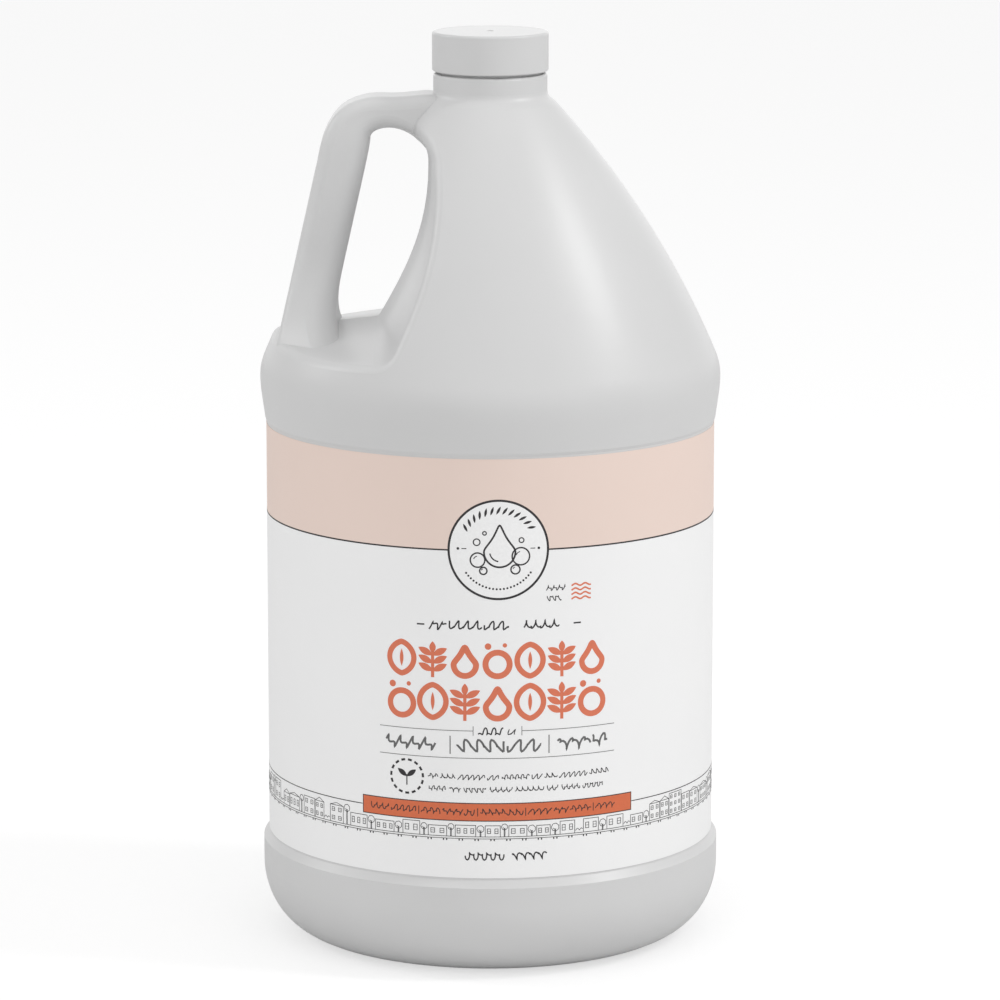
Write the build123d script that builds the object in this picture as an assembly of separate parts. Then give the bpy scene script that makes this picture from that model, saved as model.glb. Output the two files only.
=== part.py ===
from build123d import *
import math
import os

# One-gallon round jug with a blow-moulded hollow handle, a screw cap with its liner,
# and a wrap-around label. Millimetres, +Z up, origin on the axis at the standing face.
# The handle is on the -X side, in the mould's parting plane Y = 0.

# Body of the jug, from the ground up
heel_height = 24.0        # curved corner under the base band
heel_run = 20.4           # how far that corner comes in
stand_ring_width = 1.2    # flat ring that the jug stands on
chime_run = 5.5           # slope from the ring up to the raised middle
chime_rise = 0.4          # its share of the push-up
push_up = 6.0             # how far the middle of the base is raised
dome_fullness = 0.85      # share of the push-up reached half way out
ring_slope = -0.15        # slope of the base where it meets the ring
base_band_height = 8.5    # plain band between the heel and the label panel
body_radius = 78.4        # base band
panel_depth = 2.0         # how far the label panel is set back
panel_edge = 2.5          # height of the slope below the panel
panel_height = 143.2      # straight wall for the label
panel_lip = (0.5, 1.0)    # small step above the panel, outwards and up
bumper_height = 15.3      # from the panel up to the widest line of the shoulder
bumper_proud = 0.1        # how far the shoulder stands out past the base band
bumper_lean = 0.12        # slope of the shoulder above the panel's step
shoulder_round = 8.3      # height of the round above the widest line
shoulder_inset = 1.9      # how far the bell's foot is inside the widest line
shoulder_lean = -0.43     # slope of the wall at the bell's foot
bell_height = 84.7        # conical shoulder
bell_sag = 4.2            # how far its wall bows outward
throat_height = 4.1       # concave round under the collar
throat_flare = 3.0        # how far that round spreads
collar_step = 1.9         # how far the collar stands out past the neck
collar_height = 5.7
collar_round = 0.8
wall = 1.2                # blown wall

# Neck finish, 38 mm, one-turn thread
thread_pitch = 25.4 / 6
finish_height = 11.8
finish_radius = 17.4      # under the thread
neck_wall = 2.4
thread_depth = 1.05
thread_turns = 1.3
thread_start = 3.3        # middle of the thread's lower end above the collar
thread_root = 2.3         # width of a thread's foot
thread_crest = 0.9        # width of a thread's top
thread_sunk = 0.15        # how far a thread's foot is sunk in its wall
rim_round = 0.5

# Finger space beside the bell: outline in the parting plane, opening by its draft
grip_wall_step = 1.7      # upper side wall outside the collar
ledge_over_bumper = 19.8  # floor of the space above the widest line
ledge_corner_x = 38.0     # lower side corner to the axis
ledge_fall = 8.8          # fall of the floor towards the outside, over the body's radius
side_draft = 0.072        # side wall, per millimetre away from the parting plane
floor_fall = 8.3          # fall of the floor to the front and back, over the body's radius
roof_draft = 0.045
corner_inset = 0.6        # share of the wall by which the lower corner moves inside
bend_high = 0.57          # shape of the side wall between its corner and the straight part
bend_run = 0.53
bend_low = 0.27
floor_round = 2.0
floor_round_growth = 0.11
roof_round = 11.0
space_round = 4.0         # rounded rim where the space meets the bell

# Hollow handle
bar_drop = 7.7            # middle of the top bar below the collar's foot
bar_slope = 0.055         # the bar rises towards the neck
bar_start_x = 6.0
bar_thickness = 10.6
bar_depth = 21.0
arch_reach = 13.0         # round under the bar where it joins the neck
arch_depth = 9.5
handle_corner_x = 46.6    # where the lines of bar and grip cross
handle_corner_radius = 11.5
grip_foot_inset = 13.5    # middle of the grip's foot inside the widest line
grip_foot_drop = 12.0     # how far the grip runs on below the floor
grip_thickness = 16.3
grip_depth = 24.5
blend_run = 4.0           # the section begins to change so far before the bend
outer_round = 4.2         # edges of the handle on the outside
inner_round = 6.4         # edges of the grip on the finger side
bar_inner_round = 4.6     # and of the bar
foot_flare = 38.0         # how far the foot spreads onto the floor, front and back
foot_flare_outside = 0.2  # share of that on the outside of the grip
foot_flare_inside = 9.5   # and how far towards the fingers
foot_flare_drop = 8.0     # the flare ends so far below the floor
foot_flare_height = 34.0
foot_flare_power = 2.2
handle_sections = 19

# Cap and liner
cap_wall = 1.0
cap_height = 13.3
cap_top = 1.4
cap_edge_round = 0.9
cap_foot_bevel = 0.35
thread_clearance = 0.25   # between the two threads, radially
gate_radius = 1.3
gate_depth = 0.25
liner_thickness = 1.0
liner_clearance = 0.35

# Label
label_thickness = 0.15
label_margin = 0.7        # bare panel above and below the label
label_overlap = 9.0       # strip that laps over the other end, at the back

# Levels and radii worked out from the sizes
band_z = heel_height + base_band_height
panel_z = band_z + panel_edge
panel_top_z = panel_z + panel_height
bumper_z = panel_top_z + bumper_height
bell_z = bumper_z + shoulder_round
throat_z = bell_z + bell_height
collar_z = throat_z + throat_height
finish_z = collar_z + collar_height
rim_z = finish_z + finish_height
floor_z = bumper_z + ledge_over_bumper
bar_z = collar_z - bar_drop
under_bar_z = bar_z - bar_thickness / 2
panel_radius = body_radius - panel_depth
bumper_radius = body_radius + bumper_proud
collar_radius = finish_radius + collar_step
bore_radius = finish_radius - neck_wall
grip_wall_x = collar_radius + grip_wall_step
thread_radius = finish_radius + thread_depth
cap_bore = thread_radius + thread_clearance
ledge_slope = ledge_fall / body_radius
floor_draft = floor_fall / body_radius
far = 4 * body_radius     # larger than the jug, for cutting shapes
space_reach = 1.3 * body_radius
over = 1.0                # how far a cutting or joining shape runs on past its face


def jug_profile(inset):
    """Half section of the jug right of its axis, its skin moved in by the inset."""
    body = body_radius - inset
    panel = panel_radius - inset
    widest = (bumper_radius - inset, bumper_z)
    collar = bore_radius if inset else collar_radius
    ring = body_radius - heel_run
    dome_top = (0, push_up + inset)
    chime = (ring - stand_ring_width - chime_run, chime_rise * push_up + inset)
    ring_start = (ring - stand_ring_width, inset)
    bell_foot = (widest[0] - shoulder_inset, bell_z)
    bell_top = (collar_radius + throat_flare - inset, throat_z)
    chord = Vector(*bell_top) - Vector(*bell_foot)
    bow = Vector(chord.Y, -chord.X).normalized() * bell_sag
    bell_middle = (Vector(*bell_foot) + Vector(*bell_top)) / 2 + bow
    lip = (panel + panel_lip[0], panel_top_z + panel_lip[1])
    with BuildSketch() as sketch:
        with BuildLine():
            dome = ThreePointArc(dome_top, (chime[0] / 2, dome_fullness * push_up + inset), chime)
            Spline(chime, ring_start, tangents=[dome % 1, (1, ring_slope)])
            Line(ring_start, (ring, inset))
            EllipticalCenterArc(
                (ring, heel_height), body - ring, heel_height - inset, start_angle=-90, arc_size=90
            )
            Polyline((body, heel_height), (body, band_z), (panel, panel_z), (panel, panel_top_z), lip)
            Spline(lip, widest, tangents=[(bumper_lean, 1), (0, 1)])
            Spline(widest, bell_foot, tangents=[(0, 1), (shoulder_lean, 1)])
            bell = ThreePointArc(bell_foot, bell_middle, bell_top)
            Spline(bell_top, (collar, collar_z), tangents=[bell % 1, (0, 1)])
            Polyline((collar, collar_z), (collar, finish_z), (0, finish_z), dome_top)
        make_face()
    return sketch.sketch


def turned_body(inset):
    """Front half of the jug's turned body."""
    return revolve(Plane.XZ * jug_profile(inset), axis=Axis.Z, revolution_arc=-180)


def round_corner(sketch, corner, radius):
    """Rounds the sketch's corner nearest to a point."""
    fillet(sketch.vertices().sort_by_distance(Vector(*corner))[0], radius)


def finger_outline(away, inset):
    """Outline of the finger space at a distance from the parting plane."""
    wall_x = -grip_wall_x + side_draft * away + inset
    floor = floor_z - floor_draft * away - inset
    corner = (-ledge_corner_x + side_draft * away + corner_inset * inset, floor)
    roof = (wall_x, under_bar_z + roof_draft * away + inset)
    bend = (wall_x, under_bar_z - arch_reach)
    rise = bend[1] - floor
    low = floor + ledge_slope * (-far - corner[0])
    with BuildSketch(Plane.XZ.offset(away)) as sketch:
        with BuildLine():
            Polyline(corner, (-far, low), (-far, roof[1]), roof, bend)
            Bezier(
                bend,
                (wall_x, floor + bend_high * rise),
                (wall_x - bend_run * (wall_x - corner[0]), floor + bend_low * rise),
                corner,
            )
        make_face()
        round_corner(sketch, corner, floor_round + floor_round_growth * away + inset)
        round_corner(sketch, roof, roof_round)
    return sketch.sketch.face().outer_wire()


def is_bell(face):
    box = face.bounding_box()
    wide = box.size.X > 2 * grip_wall_x
    return wide and box.min.Z > bumper_z + over and box.max.Z < throat_z + over


def is_rim(edge):
    return edge.geom_type != GeomType.CIRCLE and edge.position_at(0.5).Y < -over / 2


def body_with_space(inset):
    """The turned body with the finger space cut and its rim rounded, both halves."""
    outlines = [finger_outline(0, inset), finger_outline(space_reach, inset)]
    half = turned_body(inset) - Solid.make_loft(outlines, ruled=True)
    bell = half.faces().filter_by(is_bell)[0]
    rim = max(bell.edges().filter_by(is_rim), key=lambda edge: edge.length)
    half = half.fillet(space_round - inset, [rim])
    return half + mirror(half, Plane.XZ)


def arch_drop(to_wall):
    """How far the round under the bar hangs down at a distance from the side wall."""
    share = max(0, 1 - to_wall / arch_reach)
    return arch_depth * (share * share if share < 1 else 2 * share - 1)


def handle_section(centre, direction, share, inset):
    """One section of the handle, square to its line; share is 0 in the bar, 1 in the grip."""
    lift = (centre.Z - floor_z + foot_flare_drop) / foot_flare_height
    foot = min(1, max(0, 1 - lift)) ** foot_flare_power
    under = foot_flare_inside * foot**2 + arch_drop(-centre.X - grip_wall_x)
    spread = foot_flare * foot
    thick = bar_thickness + share * (grip_thickness - bar_thickness) + under
    x = thick / 2 - inset
    inner = (bar_depth + share * (grip_depth - bar_depth)) / 2 - inset
    outer = inner + foot_flare_outside * spread
    inner += spread
    finger_round = bar_inner_round + share * (inner_round - bar_inner_round) - inset
    outward = Vector(0, 1, 0).cross(direction)
    plane = Plane(origin=centre - outward * under / 2, x_dir=outward, z_dir=direction)
    with BuildSketch(plane) as sketch:
        with BuildLine():
            Polyline((x, outer), (x, -outer), (-x, -inner), (-x, inner), close=True)
        make_face()
        for side in (-1, 1):
            round_corner(sketch, (x, side * outer), outer_round - inset)
            round_corner(sketch, (-x, side * inner), finger_round)
    return sketch.sketch.face().outer_wire()


def handle(inset):
    """The handle as a solid, its skin moved in by the inset, along a bent centre line."""
    start = (-bar_start_x, 0, bar_z + bar_slope * (handle_corner_x - bar_start_x))
    corner = (-handle_corner_x, 0, bar_z)
    foot = (-(bumper_radius - grip_foot_inset), 0, floor_z - grip_foot_drop)
    line = FilletPolyline(start, corner, foot, radius=handle_corner_radius)
    bend = line.edges().filter_by(GeomType.CIRCLE)[0]
    blend_start = (Vector(*start) - bend.position_at(0)).length - blend_run
    sections = []
    for index in range(handle_sections):
        part = index / (handle_sections - 1)
        share = (part * line.length - blend_start) / (bend.length + 2 * blend_run)
        share = min(1, max(0, share))
        share = share * share * (3 - 2 * share)
        sections.append(handle_section(line @ part, line % part, share, inset))
    return Solid.make_loft(sections)


def jug_form(inset):
    return body_with_space(inset) + handle(inset)


def thread(foot_radius, start_angle, sign):
    """One raised helical thread, outwards for sign 1 and inwards for sign -1."""
    helix = Helix(pitch=thread_pitch, height=thread_turns * thread_pitch, radius=foot_radius)
    inside = foot_radius - sign * thread_sunk
    crest = foot_radius + sign * thread_depth
    root, top = thread_root / 2, thread_crest / 2
    outline = Polyline((inside, -root), (crest, -top), (crest, top), (inside, root), close=True)
    swept = sweep(Plane.XZ * make_face(outline), path=helix, is_frenet=True)
    return Pos(0, 0, finish_z + thread_start) * Rot(0, 0, start_angle) * swept


def round_pin(radius, low, high):
    """Upright cylinder on the jug's axis between two levels."""
    return Pos(0, 0, (low + high) / 2) * Cylinder(radius, high - low)


def is_collar_top(edge):
    return abs(edge.center().Z - finish_z) < over / 10 and edge.radius > finish_radius


def make_bottle():
    """Jug with handle, collar and threaded neck, open at the top."""
    shell = jug_form(0) - jug_form(wall)
    top = shell.edges().filter_by(GeomType.CIRCLE).filter_by(is_collar_top)
    shell = fillet(top, collar_round)
    neck = round_pin(finish_radius, finish_z - over, rim_z)
    shell += fillet(neck.edges().group_by(Axis.Z)[-1], rim_round)
    shell -= round_pin(bore_radius, collar_z, rim_z + over)
    return shell + thread(finish_radius, 0, 1)


def make_cap():
    """Screw cap with a smooth skirt, an inner thread and a gate mark on top."""
    foot = rim_z + liner_thickness + cap_top - cap_height
    top = foot + cap_height
    body = round_pin(cap_bore + cap_wall, foot, top)
    body = fillet(body.edges().group_by(Axis.Z)[-1], cap_edge_round)
    body = chamfer(body.edges().group_by(Axis.Z)[0], cap_foot_bevel)
    body -= round_pin(cap_bore, foot - over, top - cap_top)
    body -= round_pin(gate_radius, top - gate_depth, top + over)
    return body + thread(cap_bore, 180, -1)


def make_liner():
    """Foam disc that seals the rim inside the cap."""
    return round_pin(cap_bore - liner_clearance, rim_z, rim_z + liner_thickness)


def make_label():
    """Label round the panel, with its end lapped over its start at the back."""
    low = panel_z + label_margin
    high = panel_top_z - label_margin
    hole = round_pin(panel_radius, low - over, high + over)
    ring = round_pin(panel_radius + label_thickness, low, high) - hole
    lap = round_pin(panel_radius + 2 * label_thickness, low, high) - hole
    strip = Pos(0, panel_radius, (low + high) / 2) * Box(label_overlap, panel_radius / 2, high - low)
    return ring + (lap & strip)


os.makedirs("parts", exist_ok=True)
export_step(make_bottle(), "parts/bottle.step")
export_step(make_cap(), "parts/cap.step")
export_step(make_liner(), "parts/cap_liner.step")
export_step(make_label(), "parts/label.step")
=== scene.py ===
import math

import bpy
import numpy as np
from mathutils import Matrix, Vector


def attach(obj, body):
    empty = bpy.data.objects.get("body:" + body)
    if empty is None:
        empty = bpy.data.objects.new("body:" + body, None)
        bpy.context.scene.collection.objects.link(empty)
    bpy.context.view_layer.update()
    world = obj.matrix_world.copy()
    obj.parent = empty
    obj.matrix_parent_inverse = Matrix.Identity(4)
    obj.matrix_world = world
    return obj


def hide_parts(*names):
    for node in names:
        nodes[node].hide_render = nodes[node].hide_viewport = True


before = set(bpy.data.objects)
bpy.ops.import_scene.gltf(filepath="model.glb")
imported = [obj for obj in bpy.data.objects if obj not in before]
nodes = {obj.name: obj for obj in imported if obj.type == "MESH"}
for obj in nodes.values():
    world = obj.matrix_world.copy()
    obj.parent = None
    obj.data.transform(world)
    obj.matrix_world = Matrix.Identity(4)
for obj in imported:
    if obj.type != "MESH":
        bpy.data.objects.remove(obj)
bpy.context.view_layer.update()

# ---------------------------------------------------------------- jug
# The jug is one blow-moulded shell of white high-density polyethylene: body, conical
# shoulder, hollow side handle, collar and threaded neck. Its two mould halves meet in
# the plane of the handle, where they leave a faint parting line.

class Value:
    """A shader socket that adds and multiplies like a number."""

    def __init__(self, tree, socket):
        self.tree = tree
        self.socket = socket

    def math(self, operation, *others):
        """A Math node on this value and the others."""
        return self.tree.node("ShaderNodeMath", {"operation": operation}, [self, *others])

    def __add__(self, other):
        return self.math("ADD", other)

    def __mul__(self, other):
        return self.math("MULTIPLY", other)

    __radd__ = __add__
    __rmul__ = __mul__

    def __getitem__(self, axis):
        parts = self.tree.node("ShaderNodeSeparateXYZ", {}, [self], whole=True)
        return Value(self.tree, parts.outputs[axis])

    def ramp(self, low, high):
        """0 at low and 1 at high, straight between them and held outside."""
        settings = {"clamp": True}
        return self.tree.node("ShaderNodeMapRange", settings, [self, low, high, 0.0, 1.0])

    def within(self, half_width, softness):
        """1 where the value is within half_width of zero, fading to 0 over the softness."""
        return self.math("ABSOLUTE").ramp(half_width + softness, half_width)


class Nodes:
    """A node tree that takes nodes by type, settings and socket values."""

    def __init__(self, tree):
        self.nodes = tree.nodes
        self.links = tree.links

    def put(self, socket, value):
        """Links a value to a socket, or sets the socket's own number or colour."""
        if isinstance(value, Value):
            self.links.new(value.socket, socket)
        else:
            socket.default_value = value

    def node(self, kind, settings, inputs, output=0, whole=False):
        """Adds a node: its settings first, then its sockets in order or by name."""
        made = self.nodes.new(kind)
        for setting, value in settings.items():
            setattr(made, setting, value)
        named = inputs.items() if isinstance(inputs, dict) else enumerate(inputs)
        for key, value in named:
            self.put(made.inputs[key], value)
        return made if whole else Value(self, made.outputs[output])

    def mix(self, share, first, second):
        """A colour that goes from the first to the second as the share goes from 0 to 1."""
        made = self.node("ShaderNodeMix", {"data_type": "RGBA"}, [], whole=True)
        self.put(made.inputs["Factor"], share)
        self.put(made.inputs[6], first)
        self.put(made.inputs[7], second)
        return Value(self, made.outputs[2])


class Finish(Nodes):
    """A node-built material: a Principled shader and the nodes that feed it."""

    def __init__(self, name, **constants):
        self.material = bpy.data.materials.new(name)
        self.material.use_nodes = True
        super().__init__(self.material.node_tree)
        self.shader = self.nodes["Principled BSDF"]
        for socket, value in constants.items():
            self.shader.inputs[socket.replace("_", " ")].default_value = value

    def place(self):
        """The point in the object's own coordinates, which are the row frame's metres."""
        return self.node("ShaderNodeTexCoord", {}, [], output="Object")

    def noise(self, place, scale, detail=2.0):
        """Soft noise from 0 to 1 with so many cells in a metre."""
        inputs = {"Vector": place, "Scale": scale, "Detail": detail}
        return self.node("ShaderNodeTexNoise", {}, inputs)

    def stretch(self, place, scale):
        """The place with each axis multiplied."""
        return self.node("ShaderNodeVectorMath", {"operation": "MULTIPLY"}, [place, scale])

    def bump(self, height, distance):
        """The normal of a surface raised by the height, of 0 to 1, times the distance."""
        inputs = {"Strength": 1.0, "Distance": distance, "Height": height}
        return self.node("ShaderNodeBump", {}, inputs)

    def shade(self, **values):
        """Links what varies over the surface to the shader."""
        for socket, value in values.items():
            self.put(self.shader.inputs[socket.replace("_", " ")], value)
        return self.material


def shown(piece, material):
    """Gives a piece one material in place of those it has."""
    piece.data.materials.clear()
    piece.data.materials.append(material)


def grey(level):
    """A neutral colour of a level from 0 to 1."""
    return (level, level, level, 1.0)


def polyethylene():
    """White polyethylene: faint mottle, orange-peel from the mould, a parting line."""
    finish = Finish("white_polyethylene", IOR=1.5)
    place = finish.place()
    mottle = finish.noise(place, 22.0, 3.0)
    peel = finish.noise(place, 900.0, 2.0)
    sink = finish.noise(place, 16.0, 1.0)
    seam = place["Y"].within(0.00008, 0.00018)
    height = peel * 0.010 + sink * 0.10 + seam * 0.08
    return finish.shade(
        Base_Color=finish.mix(mottle, grey(0.65), grey(0.69)),
        Roughness=mottle * 0.06 + 0.33,
        Normal=finish.bump(height, 0.0005),
    )


shown(nodes["bottle"], polyethylene())

# ---------------------------------------------------------------- cap
# The screw cap is injection-moulded polypropylene, a little glossier than the jug, with a
# smooth skirt and a gate mark in the middle of its top. It turns on the neck's thread.

def polypropylene():
    """White polypropylene: even colour, fine turning marks round the skirt and top."""
    finish = Finish("white_polypropylene", IOR=1.49)
    place = finish.place()
    mottle = finish.noise(place, 60.0, 2.0)
    rings = finish.noise(finish.stretch(place, (30.0, 30.0, 1500.0)), 1.0, 1.0)
    return finish.shade(
        Base_Color=finish.mix(mottle, grey(0.65), grey(0.68)),
        Roughness=mottle * 0.06 + 0.30,
        Normal=finish.bump(rings * 0.05 + mottle * 0.05, 0.0003),
    )


shown(nodes["cap"], polypropylene())

# ---------------------------------------------------------------- liner
# A disc of white closed-cell foam is pressed into the cap and seals the rim. It shows
# only when the cap is off.

def foam():
    """White closed-cell foam: small round cells that dent the skin."""
    finish = Finish("liner_foam", IOR=1.45)
    place = finish.place()
    inputs = {"Vector": place, "Scale": 1800.0}
    cells = finish.node("ShaderNodeTexVoronoi", {}, inputs, output="Distance")
    tone = finish.noise(place, 150.0)
    return finish.shade(
        Base_Color=finish.mix(tone, (0.70, 0.70, 0.67, 1.0), (0.76, 0.76, 0.73, 1.0)),
        Roughness=tone * 0.1 + 0.7,
        Normal=finish.bump(cells, 0.00008),
    )


shown(nodes["cap_liner"], foam())

# ---------------------------------------------------------------- label
# A printed film label is wrapped once round the jug's straight panel and glued. Its end
# laps over its start at the back. The top of the film is tinted, the rest is white.

MM = 0.001                  # all sizes of the label and its print are in millimetres
PANEL_RADIUS = 76.4         # the jug's straight panel, under the film
FILM = 0.15                 # thickness of the film
FACE = PANEL_RADIUS + FILM
ROUND = 2 * math.pi * FACE
LOW, HIGH = 35.7, 177.5     # the film's lower and upper edge
LAP = 9.0                   # how far the end laps over the start
LAP_RISE = 3.0              # the length over which the film climbs on to its start
LAP_GAP = 0.02              # the glue between the two
START, END = -ROUND / 2 + LAP / 2, ROUND / 2 + LAP / 2
TINT_FROM = 147.0           # the film is tinted above this height


def solid(sections, closed=False):
    """Faces and corners of a closed skin over sections of four points along a path.

    Neighbouring sections are joined by four-sided faces. The last section joins the
    first if the path is closed, and both are capped if it isn't.
    """
    index = np.arange(4 * len(sections)).reshape(-1, 4)
    here = index if closed else index[:-1]
    there = np.roll(index, -1, axis=0)[:len(here)]
    walls = [here, np.roll(here, -1, axis=1), np.roll(there, -1, axis=1), there]
    faces = np.stack(walls, axis=-1).reshape(-1, 4)
    if not closed:
        faces = np.concatenate([faces, index[:1, ::-1], index[-1:]])
    return faces, sections.reshape(-1, 3)


def piece(name, points, faces, material):
    """A mesh piece with one material, which rides on the jug."""
    mesh = bpy.data.meshes.new(name)
    mesh.from_pydata((points * MM).tolist(), [], faces.tolist())
    made = bpy.data.objects.new(name, mesh)
    bpy.context.scene.collection.objects.link(made)
    mesh.materials.append(material)
    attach(made, "bottle")
    return made


def wrapped(along, height, radius):
    """Points at an arc length from the front, measured on the label's face, and a height.

    Where the label's end laps its start the radius grows by one thickness and the glue,
    along an S-curve, three times the square less twice the cube.
    """
    past = np.clip((along - END + LAP + LAP_RISE) / LAP_RISE, 0, 1)
    radius = radius + (FILM + LAP_GAP) * past * past * (3 - 2 * past)
    angle = along / FACE
    return np.stack([radius * np.sin(angle), -radius * np.cos(angle), height], axis=-1)


def film_strip():
    """A thin rectangle, film thickness by label height, carried once round the panel."""
    along = np.linspace(START - LAP, END, 900)
    corners = [(PANEL_RADIUS, LOW), (FACE, LOW), (FACE, HIGH), (PANEL_RADIUS, HIGH)]
    edges = [wrapped(along, np.full_like(along, z), radius) for radius, z in corners]
    return np.stack(edges, axis=1)


def film():
    """Printed film: tinted above a level, faint blotches, fine grain and slow waves."""
    finish = Finish("label_film", IOR=1.45)
    place = finish.place()
    blotch = finish.noise(place, 35.0, 3.0)
    grain = finish.noise(place, 4000.0, 1.0)
    wave = finish.noise(finish.stretch(place, (18.0, 18.0, 6.0)), 1.0, 1.0)
    above = place["Z"].ramp((TINT_FROM - 0.05) * MM, (TINT_FROM + 0.05) * MM)
    white = finish.mix(blotch, grey(0.925), grey(0.945))
    tint = finish.mix(blotch, (0.85, 0.69, 0.615, 1.0), (0.87, 0.71, 0.635, 1.0))
    return finish.shade(
        Base_Color=finish.mix(above, white, tint),
        Roughness=grain * 0.05 + 0.58,
        Normal=finish.bump(grain * 0.06 + wave, 0.00015),
    )


faces, points = solid(film_strip())
label = piece("label_film", points, faces, film())
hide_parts("label")

# ---------------------------------------------------------------- print
# Everything printed on the label is a thin layer of ink. Each ink is one piece, made of
# flat strokes that stand a few hundredths of a millimetre above the film.

random = np.random.default_rng(7)
SHORTEST = 1e-9         # keeps a step of no length from dividing by zero
MITRE_LIMIT = 0.6       # a corner sharper than this is not drawn out any further


class Ink:
    """Strokes of one ink, in millimetres: arc length from the front, and height."""

    def __init__(self, name, lift, colour):
        self.name = name
        self.lift = lift
        self.colour = colour
        self.points = []
        self.faces = []
        self.count = 0

    def stroke(self, path, width, closed=False):
        """A flat slab along a path: its edges lie half the width to either side of it.

        At a corner the edges lie on the corner's bisector, and further out by the
        mitre. The slab's top is above the film and its foot is inside the film.
        """
        path = np.asarray(path, float)
        step = np.roll(path, -1, axis=0) - path
        ahead = step / np.maximum(np.linalg.norm(step, axis=1, keepdims=True), SHORTEST)
        behind = np.roll(ahead, 1, axis=0)
        if not closed:
            behind[0] = ahead[0]
            ahead[-1] = behind[-1]
        middle = (ahead + behind) / 2
        length = np.linalg.norm(middle, axis=1)
        reach = width / 2 / np.clip(length, MITRE_LIMIT, 1) / np.maximum(length, SHORTEST)
        out = track(-middle[:, 1], middle[:, 0]) * reach[:, None]
        slab = np.stack([path + out, path + out, path - out, path - out], axis=1)
        foot, top = FACE - FILM / 3, FACE + self.lift
        radius = np.array([foot, top, top, foot])
        faces, points = solid(wrapped(slab[..., 0], slab[..., 1], radius), closed)
        self.faces.append(faces + self.count)
        self.points.append(points)
        self.count += len(points)

    def lay(self):
        """Builds the piece, with a finish whose colour varies a little in density."""
        finish = Finish(self.name, IOR=1.45)
        density = finish.noise(finish.place(), 900.0)
        pale = [min(1.0, channel * 1.12 + 0.004) for channel in self.colour]
        material = finish.shade(
            Base_Color=finish.mix(density, (*self.colour, 1.0), (*pale, 1.0)),
            Roughness=density * 0.1 + 0.42,
        )
        piece(self.name, np.concatenate(self.points), np.concatenate(self.faces), material)


def track(along, up):
    """Points of a line from their arc lengths and their heights."""
    return np.stack([along, up], axis=-1)


def bent(corners, step=0.8):
    """A line through corners, with more points on it at every step so that it can curve."""
    corners = np.asarray(corners, float)
    run = np.linalg.norm(np.diff(corners, axis=0), axis=1)
    far = np.concatenate([[0], np.cumsum(run)])
    at = np.union1d(far, np.arange(0, far[-1], step))
    return track(np.interp(at, far, corners[:, 0]), np.interp(at, far, corners[:, 1]))


def arc(centre, radius, start, end, count=48):
    """Points on a circle from one angle to another, in degrees from the right."""
    turn = np.radians(np.linspace(start, end, count))
    return track(centre[0] + radius * np.cos(turn), centre[1] + radius * np.sin(turn))


def ring(ink, centre, radius, width, count=64):
    """A full ring: the arc without its last point, which is the first again."""
    ink.stroke(arc(centre, radius, 0, 360, count + 1)[:-1], width, closed=True)


def dot(ink, centre, radius, count=17):
    """A filled disc: a short level path as wide as the disc is tall at each place."""
    turn = np.linspace(-math.pi / 2, math.pi / 2, count)
    path = track(centre[0] + radius * np.sin(turn), np.full(count, float(centre[1])))
    ink.stroke(path, np.maximum(2 * radius * np.cos(turn), radius * 0.05))


def leaf(ink, foot, tip, width, count=15):
    """A filled leaf: a straight path whose width rises and falls like a half wave."""
    part = np.linspace(0, 1, count)
    path = np.outer(1 - part, foot) + np.outer(part, tip)
    ink.stroke(path, np.maximum(width * np.sin(math.pi * part) ** 0.8, 0.05 * width))


def word(ink, start, length, height, slant=0.0):
    """A stand-in for a word: a pen line of loops and stems with no letters in it.

    The height along the line is a sum of two sine waves, one twice as fast, whose
    phases are drawn at random; the line also swings back and forth a little.
    """
    count = max(9, int(length / height * 16))
    turn = np.linspace(0, 1, count) * length / height * 2 * math.pi * 1.05
    first, second = random.uniform(0, 2 * math.pi, 2)
    rise = np.sin(turn + first) * 0.62 + np.sin(2 * turn + second) * 0.38
    along = start[0] + np.linspace(0, length, count) + 0.10 * height * np.sin(2 * turn + first)
    up = start[1] + height / 2 * rise
    ink.stroke(track(along + slant * (up - start[1]), up), height * 0.15)


def line_of_words(ink, start, end, z, height, gap=0.75):
    """Stand-in words between two places on a line, 1.6 to 5.2 times as long as high."""
    at = start
    while at < end - height:
        length = min(random.uniform(1.6, 5.2) * height, end - at)
        word(ink, (at, z), length, height)
        at += length + gap * height


ground = Ink("badge_ground", 0.022, (0.90, 0.90, 0.90))
black = Ink("print_black", 0.034, (0.022, 0.020, 0.022))
grey_ink = Ink("print_grey", 0.030, (0.13, 0.13, 0.13))
warm = Ink("print_warm", 0.030, (0.69, 0.18, 0.095))

# ---------------------------------------------------------------- badge
# A round badge sits on the thin black line that divides tint and white. It shows a water
# drop in foam bubbles, an arc of small leaves above and an arc of dots below.

BADGE = (2.7, 147.2)
BADGE_RADIUS = 16.5


def on_badge(right, up):
    """A place on the badge, from its middle."""
    return (BADGE[0] + right, BADGE[1] + up)


dot(ground, BADGE, BADGE_RADIUS, 61)
ring(black, BADGE, BADGE_RADIUS, 0.75, 160)
for side, reach in ((1, END - 0.2), (-1, START + 0.2)):
    line = bent([(BADGE[0] + side * BADGE_RADIUS, TINT_FROM), (reach, TINT_FROM)], 1.2)
    black.stroke(line, 0.5)

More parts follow.
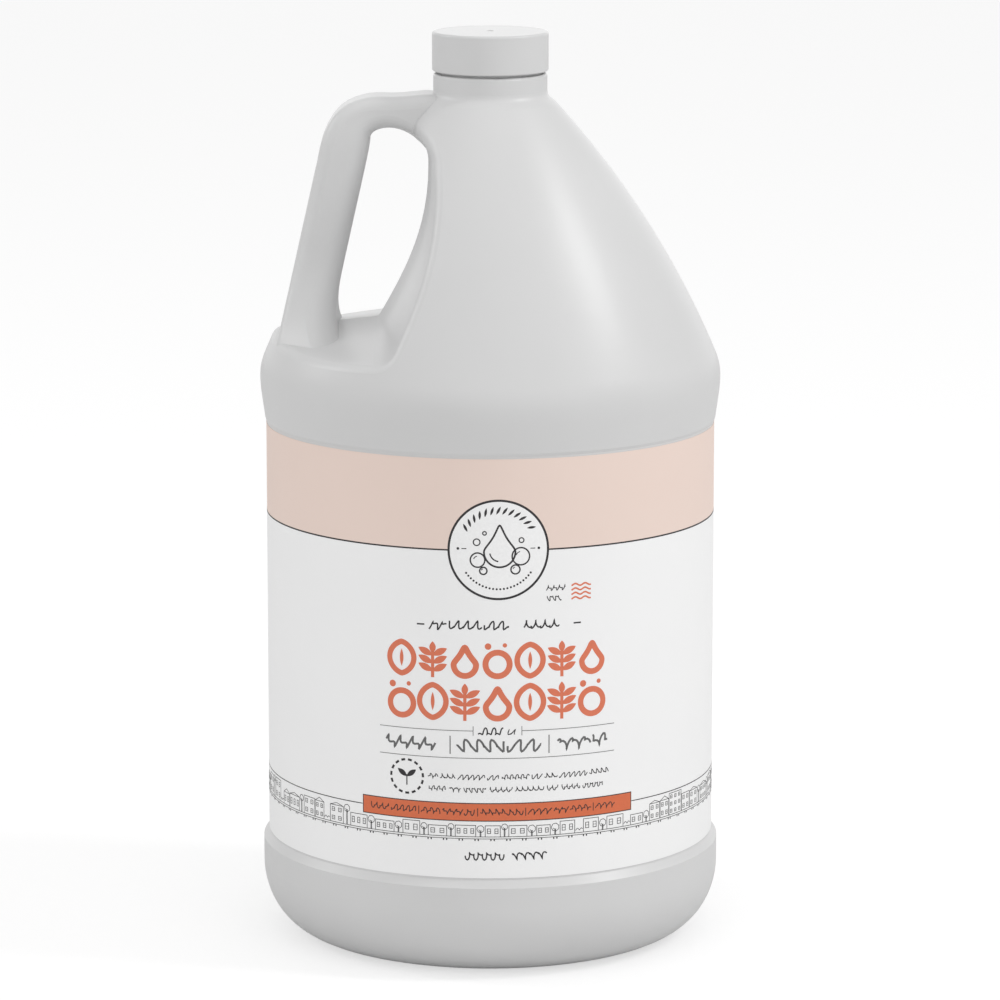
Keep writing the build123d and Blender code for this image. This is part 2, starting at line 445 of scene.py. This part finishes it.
for turn in np.radians(np.linspace(146, 34, 13)):
    out = np.array([math.cos(turn), math.sin(turn)])
    lean = np.array([out[1], -out[0]]) * 0.7
    leaf(black, BADGE + out * 11.9 - lean, BADGE + out * 14.5 + lean, 0.85)
for turn in np.radians(np.linspace(216, 324, 22)):
    dot(black, BADGE + 13.2 * np.array([math.cos(turn), math.sin(turn)]), 0.36, 9)
for side in (-1, 1):
    dot(black, on_badge(side * 13.4, 0.4), 0.45)
    black.stroke([on_badge(side * 12.2, 0.4), on_badge(side * 10.6, 0.4)], 0.3)


def drop_outline(centre, radius, point):
    """A drop: a circle whose upper half is drawn in and up to a point.

    It narrows with the power 1.5 of the circle's sine and rises with the sine's fourth
    power times the point's height.
    """
    turn = np.linspace(0, 2 * math.pi, 73)[:-1]
    up = np.clip(np.sin(turn), 0, 1)
    wide = radius * np.cos(turn) * (1 - 0.62 * up**1.5)
    tall = radius * np.sin(turn) + point * up**4
    return track(centre[0] + wide, centre[1] + tall)


DROP = on_badge(0.4, -0.6)
LARGE_BUBBLES = ((-6.9, -3.4, 2.4), (7.4, -2.2, 2.9), (5.6, -6.6, 1.5), (-5.0, -7.0, 1.2))
SMALL_BUBBLES = ((-7.2, 2.6, 1.1), (7.6, 3.2, 0.8), (-4.6, 5.6, 0.6))

black.stroke(drop_outline(DROP, 5.2, 3.6), 0.62, closed=True)
black.stroke(arc(DROP, 3.3, 190, 262, 20), 0.45)
for right, up, radius in LARGE_BUBBLES:
    ring(black, on_badge(right, up), radius, 0.5, 40)
    black.stroke(arc(on_badge(right, up), radius * 0.55, 100, 165, 10), 0.3)
for right, up, radius in SMALL_BUBBLES:
    ring(black, on_badge(right, up), radius, 0.4, 28)

# ---------------------------------------------------------------- side note
# Two short lines of small print and a patch of water waves stand right of the badge.

for z in (133.9, 130.6):
    line_of_words(black, 18.8, 25.4, z, 2.0, 0.5)
along = np.linspace(27.4, 34.4, 41)
for z in (130.0, 131.5, 133.0, 134.5):
    warm.stroke(track(along, z + 0.35 * np.sin(along * 1.8)), 0.55)

# ---------------------------------------------------------------- heading
# The heading is two rows of seven bold motifs in warm ink: oat grains, drops, sprigs and
# bubbles. A thin line of words stands above it between two dashes.

SUBTITLE = 121.6            # height of the thin line of words
DASH = 2.6

for start in (-24.7, 28.2):
    black.stroke(bent([(start, SUBTITLE), (start + DASH, SUBTITLE)], 0.6), 0.5)
for start, end in ((-20.2, 8.6), (11.2, 26.6)):
    line_of_words(black, start, end, SUBTITLE, 3.3, 0.3)

CELL = 10.85                # from one motif to the next
BOLD = 2.2                  # width of the bold line


def grain(centre, height):
    """An oat grain: an upright pointed oval, drawn as a bold outline, with a crease.

    The oval is as wide as the sine of the turn to the power 1.35, and as tall as its
    cosine.
    """
    part = np.linspace(-math.pi, math.pi, 65)[:-1]
    wide = 0.36 * height * np.sin(part) * np.abs(np.sin(part)) ** 0.35
    path = track(centre[0] + wide, centre[1] + 0.44 * height * np.cos(part))
    warm.stroke(path, BOLD * 0.85, closed=True)
    crease = 0.24 * height
    leaf(warm, (centre[0], centre[1] - crease), (centre[0], centre[1] + crease), 1.3)


def drop(centre, height):
    """A drop drawn as a bold outline."""
    middle = (centre[0], centre[1] - 0.12 * height)
    path = drop_outline(middle, 0.31 * height, 0.17 * height)
    warm.stroke(path, BOLD * 0.9, closed=True)


def sprig(centre, height):
    """A sprig: an upright stem with three pairs of leaves and one at its tip."""
    foot = centre[1] - height / 2
    warm.stroke([(centre[0], foot), (centre[0], foot + 0.8 * height)], 1.1)
    leaf(warm, (centre[0], foot + 0.68 * height), (centre[0], foot + 1.0 * height), 2.2)
    for share in (0.18, 0.40, 0.62):
        for side in (-1, 1):
            root = (centre[0], foot + share * height)
            tip = (centre[0] + side * 0.40 * height, foot + (share + 0.20) * height)
            leaf(warm, root, tip, 2.3)


def bubbles(centre, height):
    """One large bubble with a bold wall and two small ones above it."""
    ring(warm, (centre[0], centre[1] - 0.10 * height), 0.33 * height, BOLD * 0.9)
    dot(warm, (centre[0] - 0.26 * height, centre[1] + 0.40 * height), 0.09 * height)
    dot(warm, (centre[0] + 0.20 * height, centre[1] + 0.43 * height), 0.06 * height)


for z, height, motifs in (
    (109.85, 12.1, (grain, sprig, drop, bubbles, grain, sprig, drop)),
    (95.7, 12.6, (bubbles, grain, sprig, drop, grain, sprig, bubbles)),
):
    for column, motif in enumerate(motifs):
        motif((2.4 + CELL * (column - 3), z), height)

# ---------------------------------------------------------------- claims
# Thin rules frame three words in grey. Two short slanted words sit in a gap of the upper
# rule. Below are a round stamp of dashes with a seedling and two lines of small print.

RULE = 0.22                         # width of a rule
RULES_LEFT, RULES_RIGHT = -38.3, 43.6
GAP_LEFT, GAP_RIGHT = -5.7, 10.5
UPPER_RULE, LOWER_RULE = 86.0, 76.7

for start, end in ((RULES_LEFT, GAP_LEFT), (GAP_RIGHT, RULES_RIGHT)):
    grey_ink.stroke(bent([(start, UPPER_RULE), (end, UPPER_RULE)]), RULE)
for tick in (GAP_LEFT, GAP_RIGHT):
    grey_ink.stroke([(tick, UPPER_RULE - 1.6), (tick, UPPER_RULE + 1.6)], RULE)
word(black, (-3.6, 85.6), 7.6, 3.0, 0.3)
word(black, (5.6, 85.4), 2.8, 2.2, 0.3)
grey_ink.stroke(bent([(RULES_LEFT, LOWER_RULE), (RULES_RIGHT, LOWER_RULE)]), RULE)
for start, end in ((-36.0, -16.6), (-11.0, 16.8), (22.6, 41.0)):
    line_of_words(grey_ink, start, end, 81.0, 4.6, 0.2)
for bar in (-13.4, 19.7):
    grey_ink.stroke([(bar, 78.0), (bar, 84.2)], 0.35)

STAMP = (-28.4, 69.5)               # middle of the stamp
for start in np.arange(0, 360, 24):
    black.stroke(arc(STAMP, 5.7, start, start + 14, 8), 0.75)
for side in (-1, 1):
    leaf(black, STAMP, (STAMP[0] + side * 3.2, STAMP[1] + 2.4), 1.7)
black.stroke([(STAMP[0], STAMP[1] - 3.0), (STAMP[0], STAMP[1] + 0.6)], 0.4)
for z in (70.2, 66.0):
    line_of_words(black, -20.8, 41.6, z, 1.9, 0.55)

# ---------------------------------------------------------------- banner
# A warm band with a thin dark outline crosses the front, over the frieze. It carries five
# phrases of dark print with bars between them.

BANNER_LEFT, BANNER_RIGHT = -45.0, 50.7
BANNER_LOW, BANNER_HIGH = 55.3, 61.3
BANNER_MIDDLE = (BANNER_LOW + BANNER_HIGH) / 2
PHRASES = (-42.0, -23.2, -3.2, 12.8, 36.6, 48.6)    # where each starts, and the last ends

band = Ink("banner_band", 0.036, (0.66, 0.15, 0.06))
edge = Ink("banner_print", 0.039, (0.05, 0.028, 0.025))
middle = bent([(BANNER_LEFT, BANNER_MIDDLE), (BANNER_RIGHT, BANNER_MIDDLE)], 1.0)
band.stroke(middle, BANNER_HIGH - BANNER_LOW)
corners = [(BANNER_LEFT, BANNER_LOW), (BANNER_RIGHT, BANNER_LOW),
           (BANNER_RIGHT, BANNER_HIGH), (BANNER_LEFT, BANNER_HIGH), (BANNER_LEFT, BANNER_LOW)]
edge.stroke(bent(corners, 1.0)[:-1], 0.32, closed=True)
for start, end in zip(PHRASES[:-1], PHRASES[1:]):
    line_of_words(edge, start, end - 2.0, BANNER_MIDDLE, 2.3, 0.35)
for bar in PHRASES[1:-1]:
    edge.stroke([(bar - 1.0, BANNER_MIDDLE - 1.4), (bar - 1.0, BANNER_MIDDLE + 1.4)], 0.3)

# ---------------------------------------------------------------- frieze
# A fine line drawing of a street runs right round the label under a black line: houses,
# trees and hedges on a kerb with paired joints. A short line of print stands below it.

FRIEZE_LOW, FRIEZE_HIGH = 49.2, 58.2
KERB = FRIEZE_LOW + 0.7             # the street stands on the kerb's upper line
FINE = 0.2                          # width of the fine line
UNDER_BANNER = 52                   # nearer to the front the street is lower


def house(left, wide, tall, roof):
    """A house front: walls, a gable or flat roof, and rows of sash windows."""
    right, top = left + wide, KERB + tall
    walls = [(left, KERB), (left, top), (left + wide / 2, top + roof), (right, top),
             (right, KERB), (left, KERB)]
    black.stroke(bent(walls), FINE)
    black.stroke(bent([(left, top), (right, top)]), FINE)
    floors = max(1, int(tall / 2.4))
    across = max(2, int(wide / 2.2))
    for row in range(floors):
        for column in range(across):
            x = left + wide * (column + 0.28) / across
            z = KERB + tall * (row + 0.30) / floors
            side, rise = 0.42 * wide / across, 0.42 * tall / floors
            pane = [(x, z), (x, z + rise), (x + side, z + rise), (x + side, z)]
            black.stroke(pane, FINE, closed=True)
            black.stroke([(x, z + rise / 2), (x + side, z + rise / 2)], FINE * 0.7)


def tree(centre, tall, crown):
    """A tree: a trunk, and a crown whose edge is a circle with seven scallops."""
    turn = np.linspace(0, 2 * math.pi, 49)[:-1]
    radius = crown * (1 + 0.10 * np.abs(np.sin(3.5 * turn)))
    middle = KERB + tall - crown
    path = track(centre + radius * np.cos(turn), middle + radius * np.sin(turn))
    black.stroke(path, FINE, closed=True)
    for side in (-0.14, 0.14):
        black.stroke([(centre + side, KERB), (centre + side, middle - crown * 0.5)], FINE)
    black.stroke(arc((centre, middle), crown * 0.55, 200, 300, 9), FINE)


def hedge(left, right):
    """A hedge: a row of scallops, the height of each a rectified sine wave."""
    along = np.linspace(left, right, max(12, int((right - left) * 8)))
    up = KERB + 0.8 + 0.7 * np.abs(np.sin((along - left) * 2.2))
    black.stroke(track(along, up), FINE)


for start, end in ((START, BANNER_LEFT - 0.2), (BANNER_RIGHT + 0.2, END)):
    black.stroke(bent([(start + 0.1, FRIEZE_HIGH), (end - 0.1, FRIEZE_HIGH)], 1.2), 0.3)
for z in (FRIEZE_LOW, KERB):
    black.stroke(bent([(START + 0.2, z), (END - 0.2, z)], 1.2), FINE)
at = START + 0.5
while at < END - 10:
    limit = (BANNER_LOW if abs(at) < UNDER_BANNER else FRIEZE_HIGH) - FRIEZE_LOW - 1.4
    wide = random.uniform(4.2, 7.4)
    roof = random.choice([0.0, 0.9, 1.3]) if limit > 6 else 0.0
    tall = random.uniform(0.72, 1.0) * limit - roof
    house(at, wide, tall, roof)
    at += wide + 0.3
    if random.random() < 0.6:
        crown = random.uniform(0.9, 1.25)
        tree(at + crown + 0.2, random.uniform(0.75, 0.98) * limit, crown)
        at += 2 * crown + 0.7
    elif random.random() < 0.7:
        hedge(at, at + 2.6)
        at += 2.9
for start in np.arange(START + 3, END - 3, 5.3):
    for joint in (start, start + 1.1):
        black.stroke([(joint, FRIEZE_LOW - 0.7), (joint, FRIEZE_LOW)], FINE * 2)

for start, end in ((-12.8, -10.6), (-8.2, 4.4), (7.0, 18.7)):
    line_of_words(black, start, end, 43.4, 3.0, 0.35)

# ---------------------------------------------------------------- back print
# The back carries two columns of small print, left and right of the lap, each with three
# blocks under short headings. The inks are laid on the film once all strokes are drawn.

COLUMN = 60                         # width of a column
FIRST_ROW, ROW = 4.6, 3.4           # from the heading to the first row, and between rows

for left in (ROUND / 2 - 78, -ROUND / 2 + 16):
    for block, z in enumerate((139.0, 113.0, 87.0)):
        line_of_words(warm, left, left + 26, z, 2.6, 0.4)
        for row in range(5 - block % 2):
            right = left + COLUMN - 6 * (row == 4)
            line_of_words(black, left, right, z - FIRST_ROW - ROW * row, 1.5, 0.6)

for ink in (ground, black, grey_ink, warm, band, edge):
    ink.lay()

# ---------------------------------------------------------------- studio
# A white floor and backdrop, a softbox far to the left, a stronger one to the right, a
# large one overhead, and the camera a little above the jug, looking slightly down. The
# room is brighter in front of the jug and in a field behind it, and plain white to see.

world = bpy.data.worlds.new("studio")
bpy.context.scene.world = world
world.use_nodes = True
sky = Nodes(world.node_tree)
direction = sky.node("ShaderNodeTexCoord", {}, [], output="Generated")
seen = sky.node("ShaderNodeLightPath", {}, [], output="Is Camera Ray")
side = direction["X"].ramp(-1.0, 1.0)
front = direction["Y"].ramp(0.3, -0.9)
back = direction["Y"].ramp(0.75, 0.97)
room = side * 0.01 + front * 0.35 + back * 0.75 + 0.60
background = sky.nodes["Background"]
background.inputs["Color"].default_value = grey(1.0)
sky.put(background.inputs["Strength"], room.math("MAXIMUM", seen * 1.2))


def softbox(name, at, aim, size, power):
    """A rectangular area light at a place, turned to a target, of so many watts."""
    lamp = bpy.data.lights.new(name, "AREA")
    lamp.shape = "RECTANGLE"
    lamp.size, lamp.size_y = size
    lamp.energy = power
    made = bpy.data.objects.new(name, lamp)
    bpy.context.scene.collection.objects.link(made)
    made.location = at
    made.rotation_euler = (Vector(aim) - Vector(at)).to_track_quat("-Z", "Y").to_euler()


softbox("left_softbox", (-1.53, 0.34, 1.13), (0, 0, 0.25), (0.25, 0.8), 3.5)
softbox("right_softbox", (1.34, -0.30, 1.44), (0, 0, 0.23), (0.29, 0.62), 8.6)
softbox("top_softbox", (0, -0.3, 1.8), (0, 0, 0.1), (1.0, 1.0), 1.5)

bpy.ops.mesh.primitive_plane_add(size=8)
floor = bpy.context.object
floor.name = "floor"
paper = Finish("floor_paper", Roughness=0.95, Specular_IOR_Level=0.0, Emission_Strength=1.0)
seen = paper.node("ShaderNodeLightPath", {}, [], output="Is Camera Ray")
shown(floor, paper.shade(
    Base_Color=paper.mix(seen, grey(0.74), grey(0.45)),
    Emission_Color=paper.mix(seen, grey(0.02), grey(0.60)),
))

LOOKING_DOWN = 10.847       # degrees
lens = bpy.data.cameras.new("camera")
lens.lens = 191.25
lens.sensor_width = 36.0
lens.shift_x = 0.0097
camera = bpy.data.objects.new("camera", lens)
bpy.context.scene.collection.objects.link(camera)
camera.location = (0.0, -1.7901, 0.4923)
camera.rotation_euler = (math.radians(90 - LOOKING_DOWN), 0, 0)
bpy.context.scene.camera = camera
bpy.context.scene.view_settings.view_transform = "Standard"
